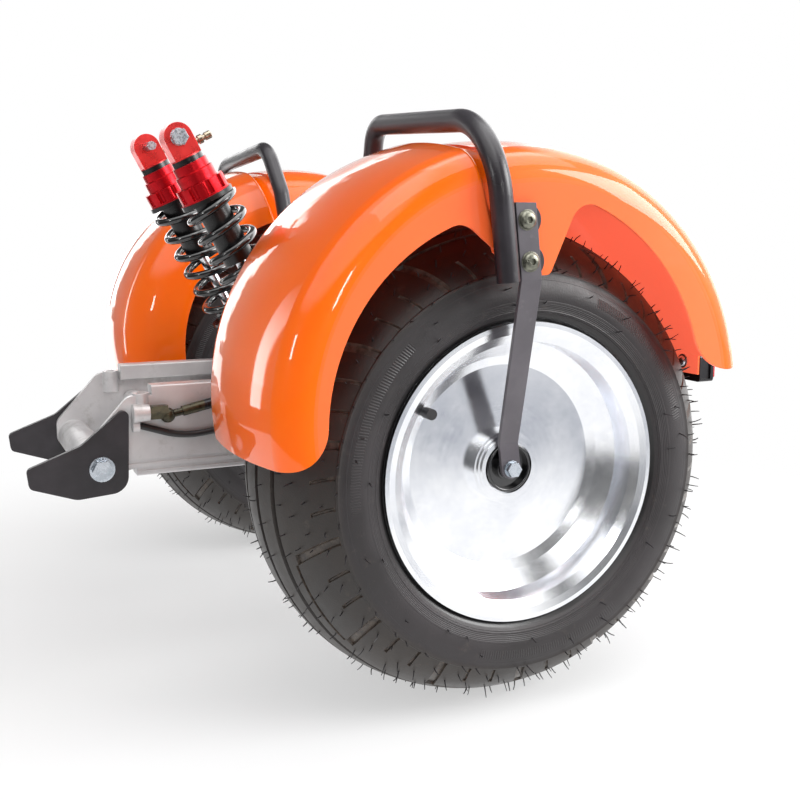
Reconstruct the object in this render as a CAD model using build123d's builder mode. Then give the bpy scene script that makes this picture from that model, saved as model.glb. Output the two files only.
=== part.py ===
"""Rear axle unit of a three-wheeled electric chopper scooter, in millimetres.

+X points forward, +Y to the left and +Z up. The origin is the middle of the
swing-arm pivot, level with the hangers that are welded under the frame. Most
pieces come in pairs: the left one is modelled and the right one is its mirror
image across the XZ plane.
"""

import os
from math import acos, cos, degrees, hypot, pi, radians, sin, sqrt, tan

from build123d import *

# layout of the whole unit
axle_back = 338.0
axle_rise = 20.0
track = 577.0
arm_half_width = 100.0
running_gap = 0.05
seat_gap = 0.3
edge_break = 0.8

# wheel: 10 inch rim with a wide road tyre, sizes measured from the wheel's mid-plane
tyre_radius = 234.0
tyre_half_width = 102.0
tyre_flank_radius = 166.0
tyre_roundness = 1.87
tyre_wall = 9.0
tread_wall = 15.0
groove_depth = 6.0
groove_width = 6.0
groove_offsets = (-42.0, -15.0, 15.0, 42.0)
rim_lip_radius = 141.0
rim_half_width = 95.0
rim_wall = 4.0
flange_wall = 6.0
bead_seat_radius = 126.5
bead_seat_width = 27.0
bead_seat_taper = 1.0
well_radius = 111.0
well_slope = 10.0
dish_offset = 50.0
dish_radius = 97.0
dish_cone = 9.0
disc_wall = 7.0
hub_radius = 35.0
hub_nose = 65.0
hub_tail = 4.0
hub_steps = (32.0, 29.0)
hub_step_height = 2.0
cap_recess_radius = 25.0
cap_recess_depth = 9.0
cap_gap = 1.5
cap_wall = 3.0
cap_rim_round = 1.2
axle_bolt_washer = (8.0, 1.6)
axle_bolt_hex = (6.5, 5.5)
spindle_radius = 15.0
valve_circle = 114.0
valve_angle = 33.5
valve_hole_radius = 5.5
valve_stem_radius = 4.2
valve_length = 38.0
valve_steps = (0.4, 0.5, 0.8, 0.82, 1.15)

# brake
brake_disc_radius = 92.0
brake_disc_wall = 4.0
brake_disc_hole_circle = 72.0
brake_disc_hole_radius = 5.0
brake_disc_holes = 12
brake_window_circle = 46.0
brake_window_radius = 9.0
brake_windows = 6
caliper_angle = 150.0
caliper_half_angle = 22.0
caliper_gap = 5.0
caliper_wall = 20.0
caliper_bridge = 9.0
caliper_inner = 56.0
anchor_wall = 6.0

# axle and drive
axle_tube_radius = 25.0
axle_flange_radius = 44.0
axle_flange_wall = 8.0
gearcase_radius = 72.0
gearcase_half_width = 62.0
motor_radius = 56.0
motor_half_width = 60.0
motor_forward = 118.0
motor_rise = 14.0
motor_rib = 2.5
motor_rib_pitch = 15.0

# mudguard, measured about its own arch centre
arch_forward = 12.0
arch_rise = 66.0
guard_clearance = 11.0
crown_sag = 16.0
guard_wall = 3.0
guard_outer = 131.0
guard_inner = 122.0
outer_shoulder = 32.0
inner_shoulder = 76.0
guard_inner_edge = 172.0
guard_front_angle = -9.0
guard_rear_angle = 172.0
guard_front_corner = 36.0
guard_rear_corner = 46.0
channel_start = 74.0
channel_end = 81.0
channel_depth = 8.0
channel_round = 3.5
rear_back = 5.0
rear_drop = 6.0
cut_forward = 15.0
cut_rise = -5.6
tyre_shown_front = 55.0
tyre_shown_rear = 36.5
cut_corner = 20.0
tongue_reach = 124.0
tongue_top = (-82.0, 150.0)
tongue_foot = (-27.0, 0.0)
tongue_corner = 7.0

# rear reflector on the mudguard's tab
reflector_width = 104.0
reflector_height = 28.0
reflector_depth = 18.0
reflector_wall = 2.0
lens_wall = 4.0
reflector_corner = 3.0
tab_drop = 24.0
tab_wall = 2.5
reflector_z = 99.0

# hoop and stay
hoop_tube = 20.0
hoop_wall = 2.0
hoop_x = -276.0
hoop_lean = 15.0
hoop_leg_end = 200.0
hoop_crown_gaps = (16.7, 1.9)
hoop_inner_corner = 183.0
hoop_knee_place = (-284.0, 150.0)
hoop_knee_drop = 41.0
hoop_foot_x = -294.0
hoop_outer_bend = 66.0
hoop_inner_bend = 34.0
hoop_foot_plate = (34.0, 20.0, 6.0)
hoop_foot_corner = 3.0
bar_centre_x = -315.0
bar_lean = 7.0
lug_wall = 4.0
lug_lobe_radius = 14.0
lug_margins = (10.0, 14.0)
lug_overlap = 2.0
stay_bolt_gap = 35.0
stay_bolt_z = 216.5
stay_width = 20.0
stay_wall = 4.0
bar_bend = 201.0
bar_top = 266.0
bar_foot_rise = 25.0
bar_foot_drop = 12.0

# damper, measured down its own axis from the upper eye
bracket_clearance = 4.0
damper_top = (-95.0, 337.4)
damper_foot = (-210.0, 110.8)
damper_head_width = 30.0
damper_head_wall = 24.0
damper_head_length = 22.0
damper_bolt_radius = 5.0
damper_bolt_end = 26.0
damper_bolt_washer = (9.0, 1.6)
damper_bolt_hex = (8.0, 6.0)
damper_neck_radius = 17.0
damper_can_radius = 19.0
damper_can_start = 28.0
damper_can_step = 38.0
damper_can_end = 50.0
preload_ring_radius = 27.0
preload_ring_end = 66.0
preload_notches = 10
preload_notch_radius = 4.0
spring_seat_radius = 29.0
spring_start = 71.0
spring_outer = 31.5
spring_wire = 4.5
spring_pitch = 23.8
damper_tube_radius = 17.0
damper_tube_end = 142.0
damper_rod_radius = 6.0
damper_foot_radius = 14.0
damper_foot_width = 22.0
lower_seat_lift = 32.0
lower_seat_wall = 4.0
bracket_wall = 4.0
bracket_foot = 24.0
bracket_pin_end = 6.0

# swing arm
pivot_tube_radius = 19.0
pivot_bolt_radius = 6.0
pivot_bush_wall = 4.0
pivot_bush_length = 30.0
side_plate_wall = 6.0
side_plate_lip = 8.0
side_plate_nose = (-30.0, -34.0)
side_plate_corner = 14.0
upper_rail = (20.0, 18.0)
upper_rail_base = 65.0
upper_rail_start = -55.0
lower_rail = (24.0, 22.0)
lower_rail_base = -12.0
lower_rail_start = -37.0
rail_end = -296.0
rail_corner = 2.0
rail_groove = (1.5, 4.0)
axle_plate = 46.0
boss_x = -45.0
boss_radius = 9.0
boss_bore = 5.0
boss_bottom = 50.0
boss_top = 75.0
cross_tube_radius = 11.0
cross_tubes = (-70.0, -150.0)
cross_tube_z = 40.0

# link rod and brake hose on the outside of the side plates
link_arm = (-33.0, 17.0)
link_arm_radii = (10.0, 8.5)
link_arm_rise = 4.0
link_ball = (-69.0, 52.0)
link_ball_radius = 8.0
link_rod_end = (-200.0, 79.0)
link_rod_radius = 4.0
link_sleeve_radius = 5.5
link_eye_radius = 8.5
link_eye_width = 10.0
bellows_start = 60.0
bellows_length = 40.0
bellows_radii = (6.0, 8.5)
bellows_folds = 8
hose_radius = 3.5
hose_ferrule = (7.0, 6.0)
hose_bend_share = 0.45
hose_slack = 1.3

# hangers under the frame
hanger_wall = 6.0
hanger_outline = ((-26.0, -26.0), (26.0, -30.0), (72.0, -14.0), (74.0, 6.0), (20.0, 26.0), (-30.0, 66.0))
hanger_corners = (18.0, 20.0, 6.0, 6.0, 20.0, 6.0)
hex_head = 9.5
washer_radius = 13.0
washer_wall = 2.0
hex_head_height = 8.0

# derived places
wheel_centre = (-axle_back, track / 2, axle_rise)
wheel_plane = Plane(origin=wheel_centre, x_dir=(0, 1, 0), z_dir=(1, 0, 0))
spin_axis = Axis(wheel_centre, (0, 1, 0))
arch_centre = (-axle_back + arch_forward, track / 2, axle_rise + arch_rise)
arch_radius = tyre_radius + guard_clearance
arch_top = arch_centre[2] + arch_radius
cut_front_radius = tyre_radius - tyre_shown_front
cut_rear_radius = tyre_radius - tyre_shown_rear
hoop_shoulders = (arch_top + hoop_crown_gaps[0], arch_top + hoop_crown_gaps[1])
hoop_knee = (*hoop_knee_place, arch_top - hoop_knee_drop)
bracket_gap = damper_foot_width / 2 + 1
damper_offset = motor_half_width + bracket_clearance + bracket_wall + bracket_gap
plate_face = arm_half_width


def side_view(y):
    """A sketch plane seen from the left: local x is forward and local y is up."""
    return Plane(origin=(0, y, 0), x_dir=(1, 0, 0), z_dir=(0, -1, 0))


def across(x, y, z):
    """A sketch plane whose normal runs outboard along +Y."""
    return Plane(origin=(x, y, z), x_dir=(1, 0, 0), z_dir=(0, 1, 0))


def facing(way, x, y, z):
    """A sketch plane on the left (way 1) or right (way -1) side, normal outboard."""
    return Plane(origin=(x, way * y, z), x_dir=(1, 0, 0), z_dir=(0, way, 0))


def write_one(solid, name):
    solid.label = name
    export_step(solid, f"parts/{name}.step")


def write_pair(solid, name):
    """Write the left piece and its mirror image."""
    write_one(solid, f"{name}_left")
    write_one(mirror(solid, about=Plane.XZ), f"{name}_right")


os.makedirs("parts", exist_ok=True)


# ---------------------------------------------------------------- tyre
def flank(half_width, crown, shares):
    """Points on the tyre's rounded flank, from the widest place up to the crown."""
    rise = crown - tyre_flank_radius
    return [
        (half_width * share, tyre_flank_radius + rise * (1 - share**tyre_roundness) ** (1 / tyre_roundness))
        for share in shares
    ]


bead = rim_half_width - flange_wall
bead_foot = bead_seat_radius + seat_gap
crown_shares = (1, 0.95, 0.8, 0.6, 0.3, 0)
with BuildPart() as tyre:
    with BuildSketch(wheel_plane):
        with BuildLine():
            outer_flank = Spline(
                (bead, rim_lip_radius + seat_gap),
                *flank(tyre_half_width, tyre_radius, crown_shares),
                tangents=[(1, 0.4), (-1, 0)],
            )
            mirror(outer_flank, about=Plane.YZ)
            inner_flank = Spline(
                (bead - tyre_wall, bead_foot),
                *flank(tyre_half_width - tyre_wall, tyre_radius - tread_wall, crown_shares),
                tangents=[(0.1, 1), (-1, 0)],
            )
            mirror(inner_flank, about=Plane.YZ)
            for way in (1, -1):
                Polyline(
                    (way * bead, rim_lip_radius + seat_gap),
                    (way * bead, bead_foot),
                    (way * (bead - tyre_wall), bead_foot),
                )
        make_face()
    revolve(axis=spin_axis)
    with BuildSketch(wheel_plane):
        with Locations(*[(u, tyre_radius) for u in groove_offsets]):
            Rectangle(groove_width, 2 * groove_depth)
    revolve(axis=spin_axis, mode=Mode.SUBTRACT)
write_pair(tyre.part, "tyre")

# ---------------------------------------------------------------- rim
seat_inner = bead - bead_seat_width
seat_edge = bead_seat_radius - bead_seat_taper
flange_top = rim_lip_radius - rim_wall
hub_face = hub_nose - cap_recess_depth
with BuildPart() as rim:
    with BuildSketch(wheel_plane):
        with BuildLine():
            Polyline(
                (-rim_half_width, flange_top),
                (-rim_half_width, rim_lip_radius),
                (-bead, rim_lip_radius),
                (-bead, bead_seat_radius),
                (-seat_inner, seat_edge),
                (-seat_inner + well_slope, well_radius),
                (seat_inner - well_slope, well_radius),
                (seat_inner, seat_edge),
                (bead, bead_seat_radius),
                (bead, rim_lip_radius),
                (rim_half_width, rim_lip_radius),
                (rim_half_width, flange_top),
                (rim_half_width - rim_wall / 2, bead_seat_radius + rim_wall),
                (bead - rim_wall / 4, bead_seat_radius - rim_wall),
                (seat_inner + rim_wall / 2, seat_edge - rim_wall),
                (dish_offset + rim_wall, dish_radius + dish_cone),
                (dish_offset, dish_radius),
                (dish_offset, hub_radius),
                (hub_nose - 2 * hub_step_height, hub_radius),
                (hub_nose - 2 * hub_step_height, hub_steps[0]),
                (hub_nose - hub_step_height, hub_steps[0]),
                (hub_nose - hub_step_height, hub_steps[1]),
                (hub_nose, hub_steps[1]),
                (hub_nose, cap_recess_radius),
                (hub_face, cap_recess_radius),
                (hub_face, spindle_radius + running_gap),
                (hub_tail, spindle_radius + running_gap),
                (hub_tail, hub_radius),
                (dish_offset - disc_wall, hub_radius + rim_wall),
                (dish_offset - disc_wall, dish_radius - rim_wall),
                (seat_inner - well_slope - rim_wall / 2, well_radius - rim_wall),
                (-seat_inner + well_slope - rim_wall / 2, well_radius - rim_wall),
                (-seat_inner - rim_wall / 2, seat_edge - rim_wall),
                (-bead + rim_wall / 4, bead_seat_radius - rim_wall),
                (-rim_half_width + rim_wall / 2, bead_seat_radius + rim_wall),
                close=True,
            )
        make_face()
    revolve(axis=spin_axis)
    valve_x = -axle_back + valve_circle * cos(radians(valve_angle))
    valve_z = axle_rise + valve_circle * sin(radians(valve_angle))
    with BuildSketch(across(valve_x, track / 2 + dish_offset, valve_z)):
        Circle(valve_hole_radius)
    extrude(amount=valve_length / 2, mode=Mode.SUBTRACT)
write_pair(rim.part, "rim")

# ---------------------------------------------------------------- valve
valve_foot = (valve_x, track / 2 + dish_offset, valve_z)
valve_heights = [valve_length * step for step in valve_steps]
with BuildPart() as valve:
    with BuildSketch(Plane(origin=valve_foot, x_dir=(1, 0, 0), z_dir=(0, 0, 1))):
        with BuildLine():
            Polyline(
                (0, running_gap),
                (valve_hole_radius - running_gap, running_gap),
                (valve_hole_radius - running_gap, valve_heights[0]),
                (valve_stem_radius, valve_heights[1]),
                (valve_stem_radius, valve_heights[2]),
                (valve_stem_radius + edge_break, valve_heights[3]),
                (valve_stem_radius + edge_break, valve_heights[4]),
                (0, valve_heights[4]),
                close=True,
            )
        make_face()
    revolve(axis=Axis((valve_x, 0, valve_z), (0, 1, 0)))
write_pair(valve.part, "valve")

# ---------------------------------------------------------------- brake disc
disc_y = track / 2 + hub_tail - brake_disc_wall
with BuildPart() as brake_disc:
    with BuildSketch(across(-axle_back, disc_y, axle_rise)):
        Circle(brake_disc_radius)
        Circle(spindle_radius + flange_wall, mode=Mode.SUBTRACT)
        with PolarLocations(brake_disc_hole_circle, brake_disc_holes):
            Circle(brake_disc_hole_radius, mode=Mode.SUBTRACT)
        with PolarLocations(brake_window_circle, brake_windows):
            Circle(brake_window_radius, mode=Mode.SUBTRACT)
    extrude(amount=brake_disc_wall)
write_pair(brake_disc.part, "brake_disc")

# ---------------------------------------------------------------- axle beam
shoulder = disc_y - caliper_gap - flange_wall
spindle_end = track / 2 + hub_face + 1
caliper_outer = brake_disc_radius + 2 * caliper_gap
caliper_back = disc_y - caliper_gap - caliper_wall
caliper_length = caliper_wall + brake_disc_wall + 2 * caliper_gap + caliper_bridge
wedge_reach = 2 * caliper_outer
caliper_wedge = [
    (wedge_reach * cos(radians(caliper_angle + turn)), -wedge_reach * sin(radians(caliper_angle + turn)))
    for turn in (-caliper_half_angle, caliper_half_angle)
]
with BuildPart() as axle_beam:
    with BuildSketch(across(-axle_back, -shoulder, axle_rise)):
        Circle(axle_tube_radius)
    extrude(amount=2 * shoulder)
    for way in (1, -1):
        with BuildSketch(facing(way, -axle_back, caliper_back, axle_rise)):
            Circle(caliper_inner + 3 * anchor_wall)
            with BuildLine():
                Polyline((0, 0), *[(x, way * z) for x, z in caliper_wedge], close=True)
            make_face(mode=Mode.INTERSECT)
            Circle(axle_tube_radius + anchor_wall)
        extrude(amount=-anchor_wall)
        with BuildSketch(facing(way, -axle_back, shoulder, axle_rise)):
            Circle(spindle_radius)
        extrude(amount=spindle_end - shoulder)
        with BuildSketch(facing(way, -axle_back, plate_face, axle_rise)):
            Circle(axle_flange_radius)
        extrude(amount=axle_flange_wall)
write_one(axle_beam.part, "axle_beam")

# ---------------------------------------------------------------- drive unit
with BuildPart() as drive_unit:
    with BuildSketch(across(-axle_back, -gearcase_half_width, axle_rise)):
        Circle(gearcase_radius)
    extrude(amount=2 * gearcase_half_width)
    with BuildSketch(across(-axle_back + motor_forward, -motor_half_width, axle_rise + motor_rise)):
        Circle(motor_radius)
    extrude(amount=2 * motor_half_width)
    for turn in range(int(2 * motor_half_width / motor_rib_pitch) - 1):
        groove_y = -motor_half_width + (turn + 1) * motor_rib_pitch
        with BuildSketch(across(-axle_back + motor_forward, groove_y, axle_rise + motor_rise)):
            Circle(motor_radius + motor_rib)
            Circle(motor_radius - motor_rib, mode=Mode.SUBTRACT)
            with Locations((-motor_forward, motor_rise)):
                Circle(gearcase_radius, mode=Mode.SUBTRACT)
        extrude(amount=motor_rib, mode=Mode.SUBTRACT)
    with BuildSketch(across(-axle_back, -gearcase_half_width, axle_rise)):
        Circle(axle_tube_radius)
    extrude(amount=2 * gearcase_half_width, mode=Mode.SUBTRACT)
write_one(drive_unit.part, "drive_unit")

# ---------------------------------------------------------------- swing arm
plate_back = plate_face - side_plate_wall
rail_top = upper_rail_base + upper_rail[1]
link_y = plate_face + link_ball_radius + 1
hose_y = plate_face + hose_radius + 1
hose_start = (-40.0, hose_y, 42.0)
with BuildPart() as swing_arm:
    with BuildSketch(across(0, -plate_back, 0)):
        Circle(pivot_tube_radius)
    extrude(amount=2 * plate_back)
    for x in cross_tubes:
        with BuildSketch(across(x, -plate_back, cross_tube_z)):
            Circle(cross_tube_radius)
        extrude(amount=2 * plate_back)
    for way in (1, -1):
        with BuildSketch(side_view(way * plate_back)):
            with BuildLine():
                FilletPolyline(
                    (pivot_tube_radius + edge_break, -pivot_tube_radius + edge_break),
                    (pivot_tube_radius + edge_break, pivot_tube_radius - edge_break),
                    (side_plate_nose[0], upper_rail_base + side_plate_lip),
                    (rail_end, upper_rail_base + side_plate_lip),
                    (-axle_back - axle_plate, upper_rail_base),
                    (-axle_back - axle_plate, axle_rise - axle_plate),
                    (rail_end, lower_rail_base + side_plate_lip),
                    (side_plate_nose[1], lower_rail_base + side_plate_lip),
                    radius=side_plate_corner,
                    close=True,
                )
            make_face()
            with Locations((-axle_back, axle_rise)):
                Circle(axle_tube_radius + seat_gap, mode=Mode.SUBTRACT)
        extrude(amount=-way * side_plate_wall)
        for size, base, start in (
            (upper_rail, upper_rail_base, upper_rail_start),
            (lower_rail, lower_rail_base, lower_rail_start),
        ):
            rail_place = (start, way * (plate_face - size[0] / 2), base + size[1] / 2)
            with BuildSketch(Plane(origin=rail_place, x_dir=(0, 1, 0), z_dir=(-1, 0, 0))):
                RectangleRounded(size[0], size[1], rail_corner)
            extrude(amount=start - rail_end)
        groove_z = lower_rail_base + lower_rail[1] / 2
        with BuildSketch(Plane(origin=(0, way * plate_face, groove_z), x_dir=(0, 1, 0), z_dir=(-1, 0, 0))):
            with Locations((0, -rail_groove[1]), (0, rail_groove[1])):
                Rectangle(2 * rail_groove[0], rail_groove[1])
        extrude(amount=-rail_end, mode=Mode.SUBTRACT)
        with BuildSketch(Plane.XY.offset(boss_bottom)):
            with Locations((boss_x, way * (plate_face - side_plate_wall))):
                Circle(boss_radius)
        extrude(amount=boss_top - boss_bottom)
        with BuildSketch(Plane.XY.offset(boss_bottom)):
            with Locations((boss_x, way * (plate_face - side_plate_wall))):
                Circle(boss_bore)
        extrude(amount=boss_top - boss_bottom, mode=Mode.SUBTRACT)
        for place, reach, radii in (
            ((link_arm[0], way * link_y, link_ball[1] + link_arm_rise), link_arm[1], link_arm_radii),
            (
                (hose_start[0] + hose_ferrule[0], way * hose_y, hose_start[2]),
                hose_ferrule[0],
                (hose_ferrule[1], hose_ferrule[1]),
            ),
        ):
            with BuildSketch(Plane(origin=place, x_dir=(0, 1, 0), z_dir=(-1, 0, 0))):
                Circle(radii[0])
            with BuildSketch(
                Plane(origin=(place[0] - reach, place[1], place[2]), x_dir=(0, 1, 0), z_dir=(-1, 0, 0))
            ):
                Circle(radii[1])
            loft()
        with BuildSketch(facing(way, link_rod_end[0], plate_face - 1, link_rod_end[1])):
            Circle(link_rod_radius)
        extrude(amount=link_y - plate_face + link_eye_width / 2 + 2)
    with BuildSketch(across(0, -plate_face, 0)):
        Circle(pivot_bolt_radius + pivot_bush_wall)
    extrude(amount=2 * plate_face, mode=Mode.SUBTRACT)
write_one(swing_arm.part, "swing_arm")

# ---------------------------------------------------------------- link rod with ball joint and bellows
collar_start = (link_arm[0] - link_arm[1] - seat_gap, link_y, link_ball[1] + link_arm_rise)
link_start = (link_ball[0], link_y, link_ball[1])
link_run = hypot(link_rod_end[0] - link_ball[0], link_rod_end[1] - link_ball[1])
link_way = ((link_rod_end[0] - link_ball[0]) / link_run, 0, (link_rod_end[1] - link_ball[1]) / link_run)
link_section = Plane(origin=link_start, x_dir=(0, 1, 0), z_dir=Vector(0, 1, 0).cross(Vector(link_way)))
fold = bellows_length / bellows_folds
ball_exit = sqrt(link_ball_radius**2 - link_rod_radius**2)
with BuildPart() as link_rod:
    with BuildSketch(Plane(origin=collar_start, x_dir=(0, 1, 0), z_dir=(-1, 0, 0))):
        RegularPolygon(link_ball_radius - 1, 6, major_radius=False)
    extrude(amount=collar_start[0] - link_ball[0])
    with BuildSketch(link_section):
        with BuildLine():
            ThreePointArc((0, -link_ball_radius), (link_ball_radius, 0), (link_rod_radius, ball_exit))
            Polyline(
                (link_rod_radius, ball_exit),
                (link_rod_radius, 2 * link_ball_radius),
                (link_sleeve_radius, 2 * link_ball_radius),
                (link_sleeve_radius, bellows_start - 2 * fold),
                (link_rod_radius, bellows_start - 2 * fold),
                *[
                    (bellows_radii[turn % 2], bellows_start + turn * fold / 2)
                    for turn in range(2 * bellows_folds + 1)
                ],
                (link_rod_radius, bellows_start + bellows_length),
                (link_rod_radius, link_run),
                (0, link_run),
                (0, -link_ball_radius),
            )
        make_face()
    revolve(axis=Axis(link_start, link_way))
    eye = (link_rod_end[0], link_y - link_eye_width / 2, link_rod_end[1])
    with BuildSketch(across(*eye)):
        Circle(link_eye_radius)
    extrude(amount=link_eye_width)
    with BuildSketch(across(*eye)):
        Circle(link_rod_radius + running_gap)
    extrude(amount=link_eye_width, mode=Mode.SUBTRACT)
write_pair(link_rod.part, "link_rod")

# ---------------------------------------------------------------- brake hose
inlet_circle = (caliper_inner + 3 * anchor_wall + caliper_outer) / 2
inlet_x = -axle_back + inlet_circle * cos(radians(caliper_angle))
inlet_z = axle_rise + inlet_circle * sin(radians(caliper_angle))
hose_points = [
    (hose_start[0] - hose_slack, hose_y, hose_start[2]),
    (-86, hose_y, 27),
    (-135, hose_y, 33),
    (-250, 124, 62),
    (-330, 142, 88),
    (inlet_x, 200, inlet_z),
    (inlet_x, caliper_back - seat_gap, inlet_z),
]
hose_bends = []
for before, corner, after in zip(hose_points, hose_points[1:], hose_points[2:]):
    run_in = Vector(corner) - Vector(before)
    run_out = Vector(after) - Vector(corner)
    half_turn = radians(run_in.get_angle(run_out)) / 2
    hose_bends.append(hose_bend_share * min(run_in.length, run_out.length) / tan(half_turn))
print("hose bend radii", [round(bend, 1) for bend in hose_bends])
with BuildPart() as brake_hose:
    with BuildLine() as hose_route:
        FilletPolyline(*hose_points, radius=hose_bends)
    with BuildSketch(Plane(origin=hose_route.line @ 0, z_dir=hose_route.line % 0)):
        Circle(hose_radius)
    sweep()
hose_length = hose_route.wire().length
tube_volume = pi * hose_radius**2 * hose_length
print("hose length", round(hose_length, 1), "volume share", round(brake_hose.part.volume / tube_volume, 4))
write_pair(brake_hose.part, "brake_hose")

# ---------------------------------------------------------------- hangers and pivot bolt
hanger_y = plate_face + seat_gap
hanger_face = hanger_y + hanger_wall
with BuildPart() as hanger:
    with BuildSketch(side_view(hanger_y)):
        with BuildLine():
            FilletPolyline(*hanger_outline, radius=hanger_corners, close=True)
        make_face()
        Circle(pivot_bolt_radius + running_gap, mode=Mode.SUBTRACT)
    extrude(amount=-hanger_wall)
write_pair(hanger.part, "hanger")

with BuildPart() as pivot_bolt:
    bolt_tail = hanger_face + washer_wall + hex_head_height + pivot_bolt_radius
    with BuildSketch(across(0, -bolt_tail, 0)):
        Circle(pivot_bolt_radius)
    extrude(amount=bolt_tail + hanger_face + washer_wall)
    for way in (1, -1):
        with BuildSketch(facing(way, 0, hanger_face, 0)):
            Circle(washer_radius)
        extrude(amount=washer_wall)
        with BuildSketch(facing(way, 0, hanger_face + washer_wall, 0)):
            RegularPolygon(hex_head, 6, major_radius=False)
        extrude(amount=hex_head_height)
write_one(pivot_bolt.part, "pivot_bolt")

with BuildPart() as pivot_bushes:
    for way in (1, -1):
        with BuildSketch(facing(way, 0, plate_face - pivot_bush_length, 0)):
            Circle(pivot_bolt_radius + pivot_bush_wall)
            Circle(pivot_bolt_radius + running_gap, mode=Mode.SUBTRACT)
        extrude(amount=pivot_bush_length)
write_one(pivot_bushes.part, "pivot_bushes")


# ---------------------------------------------------------------- mudguard
rear_centre = (arch_centre[0] - rear_back, arch_centre[1], arch_centre[2] - rear_drop)


def guard_plane(centre, angle):
    """The cross-section plane at an angle round the arch: local x outboard, local y radial."""
    turn = radians(angle)
    return Plane(origin=centre, x_dir=(0, 1, 0), z_dir=(sin(turn), 0, -cos(turn)))


def guard_outline(inset, drop, mode=Mode.ADD):
    """Draw the crowned cross-section in the open sketch, set in by inset and open at its foot by drop."""
    outer_wall = guard_outer - inset
    inner_wall = -guard_inner + inset
    corner_height = arch_radius - crown_sag - inset
    with BuildSketch(mode=Mode.PRIVATE) as form:
        with BuildLine():
            Polyline(
                (inner_wall, corner_height),
                (inner_wall, tongue_reach - drop),
                (outer_wall, tongue_reach - drop),
                (outer_wall, corner_height),
            )
            ThreePointArc(
                (outer_wall, corner_height),
                ((outer_wall + inner_wall) / 2, arch_radius - inset),
                (inner_wall, corner_height),
            )
        make_face()
        corners = form.vertices().group_by(Axis.Y)[-1].sort_by(Axis.X)
        fillet(corners[0], inner_shoulder - inset)
        fillet(form.vertices().group_by(Axis.X)[-1].group_by(Axis.Y)[-1], outer_shoulder - inset)
    add(form.sketch, mode=mode)


def guard_skin(centre, angle, outer_inset, inner_inset):
    """A strip of sheet between two insets, as a sketch at one angle."""
    with BuildSketch(guard_plane(centre, angle)) as skin:
        guard_outline(outer_inset, 0)
        guard_outline(inner_inset, guard_wall, Mode.SUBTRACT)
    return skin.sketch


wall_turn = degrees(guard_wall / arch_radius)
channel_floor = channel_depth + guard_wall
lip_room = 0.7 * (channel_depth - guard_wall)
rear_start = degrees(acos((arch_radius * cos(radians(channel_end)) + rear_back) / arch_radius))
strips = (
    (arch_centre, guard_front_angle, channel_start, 0, guard_wall),
    (arch_centre, channel_start, channel_start + wall_turn, 0, channel_floor),
    (arch_centre, channel_start + wall_turn, channel_end, channel_depth, channel_floor),
    (rear_centre, rear_start - wall_turn, rear_start, 0, channel_floor),
    (rear_centre, rear_start, guard_rear_angle, 0, guard_wall),
)
rear_turn = radians(guard_rear_angle)
tab_face = rear_centre[0] + (arch_radius - guard_wall / 2) * cos(rear_turn)
tab_top = rear_centre[2] + arch_radius * sin(rear_turn) + guard_wall
tab_half = reflector_width / 2 - edge_break
guard_face = track / 2 + guard_outer
cut_centre = (arch_centre[0] + cut_forward, guard_face + 1, arch_centre[2] + cut_rise)
guard_ends = ((arch_centre, guard_front_angle), (rear_centre, guard_rear_angle))
cut_corners = (
    ((tongue_top[1], cut_front_radius), cut_corner),
    ((tongue_top[0], cut_rear_radius), cut_corner),
    ((tongue_foot[1], tongue_reach), tongue_corner),
    ((tongue_foot[0], tongue_reach), tongue_corner),
    ((cut_front_radius, cut_front_radius * sin(radians(guard_front_angle))), guard_front_corner),
    ((-cut_rear_radius, cut_rear_radius * sin(rear_turn)), guard_rear_corner),
)
with BuildPart() as mudguard:
    for centre, start, end, outer_inset, inner_inset in strips:
        skin = guard_skin(centre, start, outer_inset, inner_inset)
        revolve(skin, axis=Axis(centre, (0, -1, 0)), revolution_arc=end - start)
    with BuildSketch(Plane(origin=cut_centre, x_dir=(1, 0, 0), z_dir=(0, -1, 0))) as arch_cut:
        for radius, half in ((cut_front_radius, Align.MIN), (cut_rear_radius, Align.MAX)):
            with BuildSketch(mode=Mode.PRIVATE) as half_disc:
                Circle(radius)
                Rectangle(2 * radius, 3 * radius, align=(half, Align.CENTER), mode=Mode.INTERSECT)
            add(half_disc.sketch)
        with BuildLine():
            Polyline(
                (tongue_top[0], arch_radius),
                (tongue_top[1], arch_radius),
                (tongue_foot[1], tongue_reach),
                (tongue_foot[0], tongue_reach),
                close=True,
            )
        make_face(mode=Mode.SUBTRACT)
        for centre, angle in guard_ends:
            hub = (centre[0] - cut_centre[0], centre[2] - cut_centre[2])
            end_x = 2 * arch_radius * cos(radians(angle))
            end_z = 2 * arch_radius * sin(radians(angle))
            with BuildLine():
                Polyline(
                    hub,
                    (hub[0] + end_x, hub[1] + end_z),
                    (end_x, -arch_radius),
                    (0, -arch_radius),
                    close=True,
                )
            make_face()
        for place, corner in cut_corners:
            fillet(arch_cut.vertices().sort_by_distance((*place, 0))[0], corner)
    extrude(amount=outer_shoulder + guard_wall, mode=Mode.SUBTRACT)
    with BuildSketch(across(arch_centre[0], track / 2 - guard_inner - 1, arch_centre[2])):
        Circle(guard_inner_edge)
    extrude(amount=inner_shoulder, mode=Mode.SUBTRACT)
    with BuildSketch(guard_plane(arch_centre, channel_start + wall_turn), mode=Mode.PRIVATE) as lip:
        guard_outline(0, 2 * guard_wall)
    lip_wire = lip.sketch.wire()
    lip_edges = [edge for edge in mudguard.edges() if lip_wire.distance_to(edge @ 0.5) < running_gap]
    fillet(lip_edges, min(channel_round, lip_room))
    with BuildSketch(Plane(origin=(tab_face, track / 2, tab_top), x_dir=(0, 1, 0), z_dir=(1, 0, 0))):
        with Locations((0, -tab_drop / 2)):
            Rectangle(2 * tab_half, tab_drop)
    extrude(amount=tab_wall)
write_pair(mudguard.part, "mudguard")

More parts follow.
